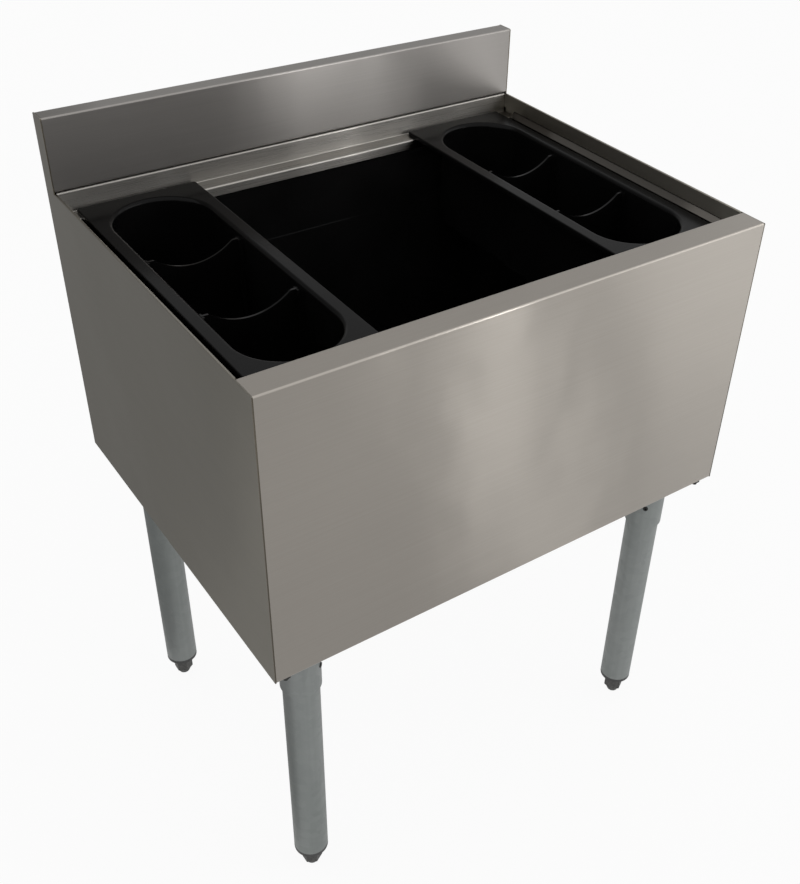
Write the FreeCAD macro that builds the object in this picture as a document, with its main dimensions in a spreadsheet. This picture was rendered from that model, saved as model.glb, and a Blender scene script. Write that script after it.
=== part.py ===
import FreeCAD, Part
import math
import os
import re
import Sketcher
from FreeCAD import Placement, Rotation, Vector

# Free-standing underbar ice bin: an insulated stainless box on four legs, with a boxed backsplash,
# a stepped rim, a black moulded liner with a drain, and two lift-out bottle wells with dividers.
# Millimetres, +Z up, front at -Y, origin on the floor below the middle of the box.

# Driving sizes

SIZES = {
    # the box
    "body_width": 610,
    "body_depth": 475,
    "working_height": 750,
    "splash_height": 83,
    "splash_depth": 23,
    # folded sheet steel
    "steel_gauge": 1.2,
    "bend_radius": 2,
    "rail_width": 32,
    "rail_return_gap": 1,
    "bottom_flange": 18,
    "corner_return": 15,
    "panel_seam": 0.2,
    "hem_thickness": 3,
    "hem_round": 1,
    "splash_seam": 1.5,
    "splash_return": 10,
    "splash_lap": 40,
    # stepped rim
    "ledge_drop": 24,
    "ledge_width": 21,
    "drip_edge": 11.5,
    "side_ledge": 6,
    "side_slope": 6.5,
    "rim_lip": 14,
    "rim_tab": 16,
    "fit_gap": 0.3,
    # moulded liner
    "liner_wall": 3,
    "liner_depth": 308,
    "liner_step_depth": 108,
    "liner_side_step": 14,
    "liner_end_step": 1.2,
    "liner_draft": 1.5,
    "liner_corner": 40,
    "mouth_corner": 12,
    "liner_base_round": 20,
    "dish_margin": 44,
    "dish_depth": 6,
    "sump_radius": 38,
    "sump_depth": 5,
    # insulation boards
    "foam_gap": 0.5,
    "foam_base": 12,
    "floor_foam": 15.5,
    # drain
    "drain_flange_radius": 32,
    "drain_flange_thickness": 3,
    "drain_gasket_thickness": 2,
    "drain_thread_radius": 18,
    "drain_tail_radius": 16.7,
    "drain_tail_length": 40,
    "drain_tail_drop": 45,
    "drain_bore_radius": 12.5,
    "strainer_radius": 20,
    "strainer_thickness": 1.6,
    "strainer_collar": 8,
    "strainer_hole_radius": 1.5,
    "strainer_ring_radius": 6.5,
    "strainer_knob_radius": 3,
    "strainer_knob_height": 9,
    "drain_washer_thickness": 2,
    "drain_washer_radius": 30,
    "locknut_height": 9,
    "locknut_flats": 46,
    # bottle wells
    "well_side_gap": 16.5,
    "well_end_gap": 4.5,
    "well_flange_width": 140,
    "well_flange_rise": 5,
    "well_flange_corner": 3,
    "well_flange_round": 1.5,
    "well_wall": 2.2,
    "well_lip_radius": 4.5,
    "well_side_border": 12,
    "well_drop_gap": 0.8,
    "well_depth": 110,
    "well_base_round": 10,
    # divider guides and dividers
    "divider_spacing": 126,
    "divider_thickness": 2.5,
    "divider_gap": 0.35,
    "guide_width": 3,
    "guide_proud": 4,
    "shoulder_drop": 6,
    "shoulder_width": 9.25,
    "scoop_depth": 16,
    "shoulder_round": 3,
    "divider_chamfer": 10,
    # legs and sockets
    "leg_diameter": 41.3,
    "leg_wall": 1.5,
    "leg_inset_side": 53,
    "leg_inset_end": 50,
    "socket_plate": 72,
    "socket_plate_thickness": 4,
    "socket_plate_corner": 10,
    "socket_wall": 2,
    "socket_height": 76,
    "socket_root_round": 5,
    "socket_bolt_spacing": 50,
    "set_screw_radius": 3,
    "set_screw_height": 40,
    "set_screw_proud": 1,
    "set_screw_key": 3,
    "set_screw_turn": 45,
    # feet
    "foot_height": 38,
    "plug_rim": 5,
    "plug_taper": 1.5,
    "plug_length": 32,
    "foot_flats": 22,
    "foot_tip_height": 8,
    "foot_tip_radius": 7.5,
    "foot_stem_radius": 6,
    "foot_stem_length": 48,
    # fasteners
    "bolt_radius": 3,
    "bolt_flats": 10,
    "bolt_head": 4,
    "nut_height": 5,
    "bolt_tail": 4,
    "bolt_hole_gap": 0.3,
    "corner_bolt_side": 16,
    "corner_bolt_end": 9,
    "rivet_radius": 1.6,
    "rivet_head_radius": 3.2,
    "rivet_head": 1,
    "rivet_tail": 1.5,
    "rivet_tail_radius": 2.4,
    "rivet_inset": 8,
    "rivet_row_pitch": 180,
}

# Counts

STRAINER_HOLES = 6
SIDE_RIVETS = 5

# Places worked out from the driving sizes

PLACES = {
    "half_width": "body_width / 2",
    "half_depth": "body_depth / 2",
    "body_height": "liner_depth + liner_wall + dish_depth + foam_gap + floor_foam + foam_base",
    "body_bottom": "working_height - body_height",
    "splash_top": "working_height + splash_height",
    "inner_radius": "bend_radius - steel_gauge",
    "side_face": "half_width - steel_gauge",
    "panel_end": "side_face - panel_seam",
    "hem_face": "half_width - hem_thickness",
    "splash_face": "half_depth - splash_depth",
    "back_face": "half_depth",
    "lap_face": "back_face - steel_gauge",
    "rail_back": "rail_width - half_depth",
    "ledge_top": "working_height - ledge_drop",
    "drip_bottom": "ledge_top - drip_edge",
    "rear_ledge_edge": "splash_face - ledge_width",
    "front_ledge_edge": "rail_back + ledge_width",
    "side_ledge_edge": "hem_face - side_ledge",
    "rim_middle": "(rear_ledge_edge + front_ledge_edge) / 2",
    "rim_end": "hem_face - panel_seam",
    "liner_top": "ledge_top - steel_gauge",
    "liner_half_width": "side_ledge_edge + bend_radius + liner_wall",
    "liner_half_depth": "(rear_ledge_edge - front_ledge_edge) / 2 + bend_radius + liner_wall",
    "dish_radius": "liner_half_depth - dish_margin",
    "drip_end_x": "liner_half_width - mouth_corner",
    "drip_end_y": "liner_half_depth - mouth_corner",
    "liner_floor": "working_height - liner_depth - liner_wall",
    "liner_step_level": "working_height - liner_step_depth - liner_wall",
    "sump_bottom": "liner_floor - dish_depth - sump_depth",
    "sump_floor": "sump_bottom + liner_wall",
    "drain_flange_bottom": "sump_floor + drain_gasket_thickness",
    "drain_flange_top": "drain_flange_bottom + drain_flange_thickness",
    "drain_bottom": "body_bottom - drain_tail_drop",
    "drain_shoulder": "drain_bottom + drain_tail_length",
    "strainer_seat": "drain_flange_top - strainer_thickness",
    "foam_bottom_level": "body_bottom + foam_base",
    "foam_top_level": "liner_top - liner_wall - foam_gap",
    "foam_side_face": "panel_end - steel_gauge - fit_gap",
    "panel_underside": "body_bottom - steel_gauge",
    "well_flange_length": "splash_face - rail_back - 2 * well_end_gap",
    "well_opening_width": "well_flange_width - 2 * well_side_border",
    "well_side": "hem_face - well_side_gap - well_flange_width / 2",
    "well_top": "ledge_top + well_flange_rise",
    "well_underside": "well_top - well_wall",
    "well_bottom": "well_top - well_depth",
    "well_radius": "well_opening_width / 2 - well_lip_radius",
    "well_half_length": "(rear_ledge_edge - front_ledge_edge) / 2 - well_drop_gap",
    "well_half_straight": "well_half_length - well_wall - well_radius",
    "divider_half_width": "well_radius - divider_gap",
    "scoop_width": "2 * (divider_half_width - shoulder_width)",
    "well_floor": "well_bottom + well_wall",
    "divider_top": "well_top - shoulder_drop",
    "leg_radius": "leg_diameter / 2",
    "leg_side": "half_width - leg_inset_side",
    "leg_end": "half_depth - leg_inset_end",
    "socket_bore": "leg_radius + fit_gap",
    "sleeve_radius": "socket_bore + socket_wall",
    "socket_underside": "panel_underside - socket_plate_thickness",
    "set_screw_level": "socket_underside - set_screw_height",
    "plug_bottom": "foot_height - plug_rim - plug_taper",
    "bolt_hole": "bolt_radius + bolt_hole_gap",
    "rivet_hole": "rivet_radius + bolt_hole_gap",
    "rivet_start": "corner_return + rivet_inset",
    "rivet_pitch": f"(body_height + splash_height - splash_lap - 2 * rivet_start) / {SIDE_RIVETS - 1}",
    "rivet_slope": "atan((rivet_head_radius - rivet_radius) / rivet_head)",
}

NAME = re.compile(r"[a-z][a-z_]+")

doc = FreeCAD.newDocument("ice_bin")
nodes = {}


def qualified(text):
    """Write sheet names in front of the size and place names in an expression."""
    def sheet_name(match):
        word = match.group(0)
        if word in SIZES:
            return "Sizes." + word
        if word in PLACES:
            return "Places." + word
        return word
    return NAME.sub(sheet_name, text)


def fill_sheet(name, entries, as_formula):
    """Write one row per entry, with the entry's name as the alias of its cell."""
    sheet = doc.addObject("Spreadsheet::Sheet", name)
    for row, (alias, entry) in enumerate(entries.items(), start=1):
        sheet.set(f"A{row}", alias)
        sheet.set(f"B{row}", "=" + qualified(entry) if as_formula else str(entry))
        sheet.setAlias(f"B{row}", alias)
    return sheet


sizes = fill_sheet("Sizes", SIZES, False)
doc.recompute()
places = fill_sheet("Places", PLACES, True)
doc.recompute()


# Helpers for sketches and features

def value(text):
    """Number that an expression of sizes and places gives now."""
    return float(sizes.evalExpression(qualified(text)))


def bind(thing, prop, text):
    thing.setExpression(prop, qualified(text))


def new_body(label):
    body = doc.addObject("PartDesign::Body", label)
    nodes[label] = body
    return body


def new_sketch(body, name, plane, offset="0"):
    """Empty sketch on one of the body's own planes, moved along the plane's normal."""
    sketch = body.newObject("Sketcher::SketchObject", name)
    support = [item for item in body.Origin.OriginFeatures if item.Role == plane]
    sketch.AttachmentSupport = (support[0], [""])
    sketch.MapMode = "FlatFace"
    bind(sketch, "AttachmentOffset.Base.z", offset)
    return sketch


def tie(sketch, constraint, text):
    number = sketch.addConstraint(constraint)
    sketch.setExpression(f"Constraints[{number}]", qualified(text))


def pin(sketch, geometry, point, spot):
    """Hold one point of a sketch at two expressions, measured from the sketch's origin."""
    for kind, text in zip(("DistanceX", "DistanceY"), spot):
        tie(sketch, Sketcher.Constraint(kind, -1, 1, geometry, point, value(text)), text)


def add_outline(sketch, corners):
    """Closed outline of straight lines through corners given as pairs of expressions."""
    first = sketch.GeometryCount
    count = len(corners)
    points = [Vector(value(x), value(y), 0) for x, y in corners]
    for i in range(count):
        sketch.addGeometry(Part.LineSegment(points[i], points[(i + 1) % count]))
    for i in range(count):
        after = (i + 1) % count
        sketch.addConstraint(Sketcher.Constraint("Coincident", first + i, 2, first + after, 1))
        pin(sketch, first + i, 1, corners[i])


def add_rectangle(sketch, x_low, y_low, x_high, y_high):
    add_outline(sketch, [(x_low, y_low), (x_high, y_low), (x_high, y_high), (x_low, y_high)])


def add_circle(sketch, x, y, radius):
    centre = Vector(value(x), value(y), 0)
    number = sketch.addGeometry(Part.Circle(centre, Vector(0, 0, 1), value(radius)))
    pin(sketch, number, 3, (x, y))
    tie(sketch, Sketcher.Constraint("Radius", number, value(radius)), radius)


def add_stadium(sketch, radius, y_low, y_high):
    """Round-ended slot along Y on the sketch's own Y axis, between two arc centres."""
    r = value(radius)
    low = value(y_low)
    high = value(y_high)
    turns = (("rear", high, 0.0), ("front", low, math.pi))
    arcs = {}
    for name, middle, start in turns:
        circle = Part.Circle(Vector(0, middle, 0), Vector(0, 0, 1), r)
        arcs[name] = sketch.addGeometry(Part.ArcOfCircle(circle, start, start + math.pi))
    left = sketch.addGeometry(Part.LineSegment(Vector(-r, high, 0), Vector(-r, low, 0)))
    right = sketch.addGeometry(Part.LineSegment(Vector(r, low, 0), Vector(r, high, 0)))
    for one, one_end, other, other_end in (
        (arcs["rear"], 2, left, 1),
        (left, 2, arcs["front"], 1),
        (arcs["front"], 2, right, 1),
        (right, 2, arcs["rear"], 1),
    ):
        sketch.addConstraint(Sketcher.Constraint("Tangent", one, one_end, other, other_end))
    for name, text in (("rear", y_high), ("front", y_low)):
        sketch.addConstraint(Sketcher.Constraint("PointOnObject", arcs[name], 3, -2))
        tie(sketch, Sketcher.Constraint("DistanceY", -1, 1, arcs[name], 3, value(text)), text)
        tie(sketch, Sketcher.Constraint("Radius", arcs[name], r), radius)


def add_feature(body, kind, name, sketch, length=None, reverse=False):
    feature = body.newObject("PartDesign::" + kind, name)
    feature.Profile = sketch
    if length is not None:
        bind(feature, "Length", length)
    feature.Reversed = reverse
    doc.recompute()
    return feature


def pad(body, name, sketch, length, reverse=False):
    return add_feature(body, "Pad", name, sketch, length, reverse)


def pocket(body, name, sketch, length, reverse=False):
    before = body.Shape.Volume
    feature = add_feature(body, "Pocket", name, sketch, length, reverse)
    if body.Shape.Volume >= before:
        raise RuntimeError(f"{body.Label}: {name} cuts nothing")
    return feature


def revolve(body, name, sketch):
    """Turn a sketch on the XZ plane round the body's Z axis."""
    feature = body.newObject("PartDesign::Revolution", name)
    feature.Profile = sketch
    axis = [item for item in body.Origin.OriginFeatures if item.Role == "Z_Axis"]
    feature.ReferenceAxis = (axis[0], [""])
    feature.Angle = 360
    doc.recompute()
    return feature


def round_edges(body, name, radius, chosen):
    """Round each edge of the body for which chosen(edge) holds."""
    base = body.Tip
    picked = [f"Edge{i}" for i, edge in enumerate(base.Shape.Edges, start=1) if chosen(edge)]
    if not picked:
        raise RuntimeError(f"{body.Label}: {name} finds no edge")
    feature = body.newObject("PartDesign::Fillet", name)
    feature.Base = (base, picked)
    bind(feature, "Radius", radius)
    doc.recompute()
    return feature


def near(a, b):
    return abs(a - b) < 0.01


def lies_on(**fixed):
    """Test for edges whose two end points share the given x, y or z values."""
    def test(edge):
        return all(near(getattr(vertex.Point, axis), number)
                   for vertex in edge.Vertexes for axis, number in fixed.items())
    return test


def any_of(*tests):
    return lambda edge: any(test(edge) for test in tests)


def place(thing, x="0", y="0", z="0"):
    for axis, text in zip("xyz", (x, y, z)):
        bind(thing, f"Placement.Base.{axis}", text)


def mirror_across(label, source):
    """Mirror image of a piece on the other side of the middle plane."""
    copy = doc.addObject("Part::Mirroring", label)
    copy.Source = source
    copy.Normal = Vector(1, 0, 0)
    nodes[label] = copy
    return copy


def spread(label, groups):
    """Group of equal separate solids as one piece, from pairs of a template and its points."""
    doc.recompute()
    solids = []
    for source, spots in groups:
        for spot in spots:
            solid = source.Shape.copy()
            solid.translate(Vector(*(value(text) for text in spot)))
            solids.append(solid)
    group = doc.addObject("Part::Feature", label)
    group.Shape = Part.makeCompound(solids)
    nodes[label] = group


def corners_of(x, y):
    """Four points at plus and minus x and y."""
    return [(f"{sx}({x})", f"{sy}({y})") for sy in ("-", "+") for sx in ("-", "+")]


def folded_strip(label, half_length, corners, outer, inner):
    """Sheet profile on the YZ plane drawn out along X, with its bends rounded on both sides."""
    body = new_body(label)
    sketch = new_sketch(body, label + "_profile", "YZ_Plane", f"-({half_length})")
    add_outline(sketch, corners)
    pad(body, label + "_sheet", sketch, f"2 * ({half_length})")
    for name, radius, bends in (("outer", "bend_radius", outer), ("inner", "inner_radius", inner)):
        tests = [lies_on(y=value(corners[i][0]), z=value(corners[i][1])) for i in bends]
        round_edges(body, f"{label}_{name}_bends", radius, any_of(*tests))
    return body


# Stainless panels

def make_front_panel():
    """Apron, top rail, turned-down return and bottom flange, with returns at both ends."""
    face = "-half_depth"
    inside = "steel_gauge - half_depth"
    back = "rail_back"
    below_rail = "working_height - steel_gauge"
    return_end = "ledge_top + rail_return_gap"
    body = new_body("front_panel")
    sketch = new_sketch(body, "front_profile", "YZ_Plane", "-panel_end")
    add_outline(sketch, [
        (face, "body_bottom"),
        (face, "working_height"),
        (back, "working_height"),
        (back, return_end),
        ("rail_back - steel_gauge", return_end),
        ("rail_back - steel_gauge", below_rail),
        (inside, below_rail),
        (inside, "body_bottom + steel_gauge"),
        ("bottom_flange - half_depth", "body_bottom + steel_gauge"),
        ("bottom_flange - half_depth", "body_bottom"),
    ])
    pad(body, "front_sheet", sketch, "2 * panel_end")
    for side, start in (("left", "-panel_end"), ("right", "panel_end - steel_gauge")):
        end_sketch = new_sketch(body, f"{side}_return_outline", "YZ_Plane", start)
        add_rectangle(end_sketch, face, "body_bottom + 2 * steel_gauge",
                      "corner_return - half_depth", "working_height - 2 * steel_gauge")
        pad(body, f"{side}_return", end_sketch, "steel_gauge")
    y = value(face)
    round_edges(body, "outer_bends", "bend_radius", any_of(
        lies_on(y=y, z=value("working_height")),
        lies_on(y=y, z=value("body_bottom")),
        lies_on(y=value(back), z=value("working_height")),
    ))
    round_edges(body, "inner_bends", "inner_radius", any_of(
        lies_on(y=value("rail_back - steel_gauge"), z=value(below_rail)),
    ))


def make_left_panel():
    """Side sheet with the splash end tab, a hemmed top, a bottom flange and a rear return."""
    body = new_body("left_side_panel")
    outline = new_sketch(body, "side_outline", "YZ_Plane", "-half_width")
    add_outline(outline, [
        ("-half_depth", "body_bottom"),
        ("half_depth", "body_bottom"),
        ("half_depth", "splash_top"),
        ("splash_face", "splash_top"),
        ("splash_face", "working_height"),
        ("-half_depth", "working_height"),
    ])
    pad(body, "side_sheet", outline, "steel_gauge")
    hem = new_sketch(body, "hem_profile", "XZ_Plane", "fit_gap - splash_face")
    add_outline(hem, [
        ("-half_width", "working_height - steel_gauge"),
        ("-hem_face - steel_gauge", "working_height - steel_gauge"),
        ("-hem_face - steel_gauge", "ledge_top + side_slope"),
        ("-hem_face", "ledge_top + side_slope"),
        ("-hem_face", "working_height"),
        ("-half_width", "working_height"),
    ])
    pad(body, "hem", hem, "splash_face - rail_back - 2 * fit_gap")
    flange = new_sketch(body, "flange_profile", "XZ_Plane", "bottom_flange + fit_gap - back_face")
    add_rectangle(flange, "-half_width", "body_bottom",
                  "bottom_flange - half_width", "body_bottom + steel_gauge")
    pad(body, "flange", flange, "back_face + half_depth - 2 * bottom_flange - 2 * fit_gap")
    rear = new_sketch(body, "rear_return_profile", "XY_Plane", "body_bottom + 2 * steel_gauge")
    add_rectangle(rear, "-half_width", "lap_face - steel_gauge", "corner_return - half_width", "lap_face")
    pad(body, "rear_return", rear, "body_height + splash_height - splash_lap - 3 * steel_gauge")
    top = value("working_height")
    round_edges(body, "hem_rounding", "hem_round", any_of(
        lies_on(x=value("-half_width"), z=top),
        lies_on(x=value("-hem_face"), z=top),
    ))
    tab_top = value("splash_top")
    round_edges(body, "tab_corners", "bend_radius", any_of(
        lies_on(y=value("half_depth"), z=tab_top),
        lies_on(y=value("splash_face"), z=tab_top),
    ))


def make_backsplash():
    folded_strip("backsplash", "panel_end", [
        ("splash_face", "working_height + splash_seam"),
        ("splash_face", "splash_top"),
        ("lap_face", "splash_top"),
        ("lap_face", "splash_top - splash_lap"),
        ("lap_face - steel_gauge", "splash_top - splash_lap"),
        ("lap_face - steel_gauge", "splash_top - steel_gauge"),
        ("splash_face + steel_gauge", "splash_top - steel_gauge"),
        ("splash_face + steel_gauge", "working_height + splash_seam + steel_gauge"),
        ("splash_face + splash_return", "working_height + splash_seam + steel_gauge"),
        ("splash_face + splash_return", "working_height + splash_seam"),
    ], outer=(0, 1, 2), inner=(5, 6, 7))


def make_back_panel():
    folded_strip("back_panel", "panel_end", [
        ("back_face", "body_bottom"),
        ("back_face", "splash_top - steel_gauge"),
        ("lap_face", "splash_top - steel_gauge"),
        ("lap_face", "body_bottom + steel_gauge"),
        ("back_face - bottom_flange", "body_bottom + steel_gauge"),
        ("back_face - bottom_flange", "body_bottom"),
    ], outer=(0,), inner=(3,))


def make_bottom_panel():
    """Flat sheet under the flanges, drilled for the drain, the sockets and the corner bolts."""
    body = new_body("bottom_panel")
    sheet = new_sketch(body, "bottom_outline", "XY_Plane", "panel_underside")
    add_rectangle(sheet, "bend_radius - half_width", "bend_radius - half_depth",
                  "half_width - bend_radius", "back_face - bend_radius")
    pad(body, "bottom_sheet", sheet, "steel_gauge")
    holes = new_sketch(body, "bottom_holes", "XY_Plane", "panel_underside")
    for x, y in socket_bolt_spots() + corner_bolt_spots():
        add_circle(holes, x, y, "bolt_hole")
    pocket(body, "bolt_holes", holes, "steel_gauge", reverse=True)
    drain = new_sketch(body, "drain_hole_outline", "XY_Plane", "panel_underside")
    add_circle(drain, "0 * body_width", "rim_middle", "drain_thread_radius + 2 * fit_gap")
    pocket(body, "drain_hole", drain, "steel_gauge", reverse=True)


def leg_spots():
    return corners_of("leg_side", "leg_end")


def socket_bolt_spots():
    reach = "socket_bolt_spacing / 2"
    return [(f"{x} + {dx}", f"{y} + {dy}")
            for x, y in leg_spots() for dx, dy in corners_of(reach, reach)]


def corner_bolt_spots():
    return corners_of("half_width - corner_bolt_side", "half_depth - corner_bolt_end")


# Stepped rim

def notch_drip_edge(label, offset):
    """Cut the drip edge back at both ends, clear of the liner's rounded corners."""
    body = nodes[label]
    notches = new_sketch(body, label + "_notches", "XZ_Plane", offset)
    add_rectangle(notches, "-rim_end", "drip_bottom", "-drip_end_x", "liner_top")
    add_rectangle(notches, "drip_end_x", "drip_bottom", "rim_end", "liner_top")
    pocket(body, label + "_notched", notches, "bend_radius")


def make_rear_rim():
    folded_strip("rear_rim", "rim_end", [
        ("splash_face + rim_lip", "working_height"),
        ("splash_face", "working_height"),
        ("splash_face", "ledge_top"),
        ("rear_ledge_edge", "ledge_top"),
        ("rear_ledge_edge", "drip_bottom"),
        ("rear_ledge_edge + steel_gauge", "drip_bottom"),
        ("rear_ledge_edge + steel_gauge", "liner_top"),
        ("splash_face + steel_gauge", "liner_top"),
        ("splash_face + steel_gauge", "working_height - steel_gauge"),
        ("splash_face + rim_lip", "working_height - steel_gauge"),
    ], outer=(1, 3, 7), inner=(2, 6, 8))
    notch_drip_edge("rear_rim", "-rear_ledge_edge")


def make_front_rim():
    folded_strip("front_rim", "rim_end", [
        ("rail_back - 2 * steel_gauge", "liner_top"),
        ("rail_back - 2 * steel_gauge", "ledge_top + rim_tab"),
        ("rail_back - steel_gauge", "ledge_top + rim_tab"),
        ("rail_back - steel_gauge", "ledge_top"),
        ("front_ledge_edge", "ledge_top"),
        ("front_ledge_edge", "drip_bottom"),
        ("front_ledge_edge - steel_gauge", "drip_bottom"),
        ("front_ledge_edge - steel_gauge", "liner_top"),
    ], outer=(0, 4), inner=(3, 7))
    notch_drip_edge("front_rim", "bend_radius - front_ledge_edge")


def make_left_rim():
    """Strip with a sloped face between the hem's inner leaf and the drip edge."""
    slope = "(side_slope / (side_face - side_ledge_edge))"
    lean = f"(steel_gauge * sqrt(1 + {slope} ^ 2))"
    body = new_body("left_rim")
    sketch = new_sketch(body, "left_rim_profile", "XZ_Plane", "panel_seam - rear_ledge_edge")
    add_outline(sketch, [
        ("-side_face", "drip_bottom"),
        ("-side_face", "ledge_top + side_slope - panel_seam"),
        ("-side_ledge_edge", "ledge_top"),
        ("-side_ledge_edge", "drip_bottom"),
        ("-side_ledge_edge - steel_gauge", "drip_bottom"),
        ("-side_ledge_edge - steel_gauge", f"ledge_top + {slope} * steel_gauge - {lean}"),
        ("steel_gauge - side_face", f"ledge_top + side_slope - {slope} * steel_gauge - {lean}"),
        ("steel_gauge - side_face", "drip_bottom"),
    ])
    pad(body, "left_rim_sheet", sketch, "rear_ledge_edge - front_ledge_edge - 2 * panel_seam")
    round_edges(body, "drip_bend", "inner_radius",
                lies_on(x=value("-side_ledge_edge"), z=value("ledge_top")))
    notches = new_sketch(body, "left_rim_notches", "YZ_Plane", "-side_ledge_edge")
    add_rectangle(notches, "front_ledge_edge", "drip_bottom", "rim_middle - drip_end_y", "liner_top")
    add_rectangle(notches, "rim_middle + drip_end_y", "drip_bottom", "rear_ledge_edge", "liner_top")
    pocket(body, "left_rim_notched", notches, "steel_gauge")


# Liner and insulation

def upright_edges(edge):
    box = edge.BoundBox
    return near(box.XLength, 0) and near(box.YLength, 0)


def leaning_edges(edge):
    """Straight edges that climb far more than they run sideways."""
    box = edge.BoundBox
    return box.ZLength > 20 and box.ZLength > 4 * max(box.XLength, box.YLength)


def make_tub(label, inset, top):
    """Two-step tub with a drafted lower half, a dished floor and a sump, set in by a wall thickness."""
    body = doc.addObject("PartDesign::Body", label)
    place(body, y="rim_middle")
    x = f"(liner_half_width - {inset})"
    y = f"(liner_half_depth - {inset})"
    step = f"(liner_step_level + {inset})"
    floor = f"(liner_floor + {inset})"
    upper = new_sketch(body, label + "_upper_outline", "XY_Plane", top)
    add_rectangle(upper, f"-{x}", f"-{y}", x, y)
    pad(body, label + "_upper", upper, f"{top} - {step}", reverse=True)
    round_edges(body, label + "_upper_corners", f"mouth_corner - {inset}", upright_edges)
    lower = new_sketch(body, label + "_lower_outline", "XY_Plane", step)
    add_rectangle(lower, f"liner_side_step - {x}", f"liner_end_step - {y}",
                  f"{x} - liner_side_step", f"{y} - liner_end_step")
    tub = pad(body, label + "_lower", lower, f"{step} - {floor}", reverse=True)
    bind(tub, "TaperAngle", "-liner_draft")
    doc.recompute()
    below = value(step) + 1
    round_edges(body, label + "_lower_corners", f"liner_corner - {inset}",
                lambda edge: leaning_edges(edge) and edge.BoundBox.ZMax < below)
    round_edges(body, label + "_base", f"liner_base_round - {inset}", lies_on(z=value(floor)))
    dish = new_sketch(body, label + "_dish_profile", "XZ_Plane")
    add_outline(dish, [
        ("0 * dish_radius", f"{floor} + liner_wall"),
        ("dish_radius", f"{floor} + liner_wall"),
        ("dish_radius", floor),
        (f"sump_radius - {inset}", f"{floor} - dish_depth"),
        (f"sump_radius - {inset}", f"sump_bottom + {inset}"),
        ("0 * dish_radius", f"sump_bottom + {inset}"),
    ])
    revolve(body, label + "_dish", dish)
    return body


def make_liner():
    """Moulded tub with a thin flange under the ledges, hollowed out by a smaller tub."""
    outside = make_tub("liner_outside", "0", "liner_top")
    plate = new_sketch(outside, "liner_flange_outline", "XY_Plane", "liner_top - liner_wall")
    add_rectangle(plate, "fit_gap + steel_gauge - side_face", "rail_back - rim_middle",
                  "side_face - steel_gauge - fit_gap", "splash_face - rim_middle")
    pad(outside, "liner_flange", plate, "liner_wall")
    inside = make_tub("liner_inside", "liner_wall", "(liner_top + liner_wall)")
    hole = new_sketch(inside, "liner_drain_outline", "XY_Plane", "sump_bottom - liner_wall")
    add_circle(hole, "0 * sump_radius", "0 * sump_radius", "drain_thread_radius + fit_gap")
    pad(inside, "liner_drain_hole", hole, "3 * liner_wall")
    liner = doc.addObject("Part::Cut", "bin_liner")
    liner.Base = outside
    liner.Tool = inside
    nodes["bin_liner"] = liner


def make_board(label, x_low, y_low, z_low, x_high, y_high, z_high):
    board = doc.addObject("Part::Box", label)
    for prop, low, high in (("Length", x_low, x_high), ("Width", y_low, y_high), ("Height", z_low, z_high)):
        bind(board, prop, f"({high}) - ({low})")
    place(board, x_low, y_low, z_low)
    return board


def make_insulation():
    """Boards cut to fill the space between the liner and the outer sheets."""
    front = "rim_middle - liner_half_depth - foam_gap"
    rear = "rim_middle + liner_half_depth + foam_gap"
    tub_side = "(liner_half_width - liner_side_step + foam_gap)"
    side = "foam_side_face"
    nodes["front_insulation"] = make_board(
        "front_insulation", f"-{side}", "2 * steel_gauge - half_depth", "foam_bottom_level",
        side, front, "foam_top_level")
    nodes["rear_insulation"] = make_board(
        "rear_insulation", f"-{side}", rear, "foam_bottom_level",
        side, "lap_face - steel_gauge - rivet_tail - foam_gap", "foam_top_level")
    for label, low, high in (
        ("left_insulation", f"-{side}", f"-{tub_side}"),
        ("right_insulation", tub_side, side),
    ):
        nodes[label] = make_board(label, low, f"{front} + foam_gap", "foam_bottom_level",
                                  high, f"{rear} - foam_gap", "liner_step_level - foam_gap")
    slab = make_board("bottom_slab", f"foam_gap - {tub_side}", f"{front} + foam_gap", "foam_bottom_level",
                      f"{tub_side} - foam_gap", f"{rear} - foam_gap", "liner_floor - dish_depth - foam_gap")
    well = doc.addObject("Part::Cylinder", "sump_clearance")
    bind(well, "Radius", "sump_radius + 4 * foam_gap")
    bind(well, "Height", "liner_floor - foam_bottom_level")
    place(well, "0", "rim_middle", "foam_bottom_level")
    board = doc.addObject("Part::Cut", "bottom_insulation")
    board.Base = slab
    board.Tool = well
    nodes["bottom_insulation"] = board


# Drain

def add_ring(body, name, inner, outer, low, height):
    sketch = new_sketch(body, name + "_outline", "XY_Plane", low)
    add_circle(sketch, "0 * drain_bore_radius", "0 * drain_bore_radius", outer)
    add_circle(sketch, "0 * drain_bore_radius", "0 * drain_bore_radius", inner)
    return pad(body, name, sketch, height)


def add_hexagon(sketch, flats):
    """Hexagon round the sketch's origin, with two flats facing along X."""
    half = f"{flats} / 2"
    middle = f"0 * {flats}"
    tip = f"{flats} / sqrt(3)"
    low = f"{flats} / sqrt(12)"
    add_outline(sketch, [
        (half, f"-{low}"),
        (half, low),
        (middle, tip),
        (f"-{half}", low),
        (f"-{half}", f"-{low}"),
        (middle, f"-{tip}"),
    ])


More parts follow.
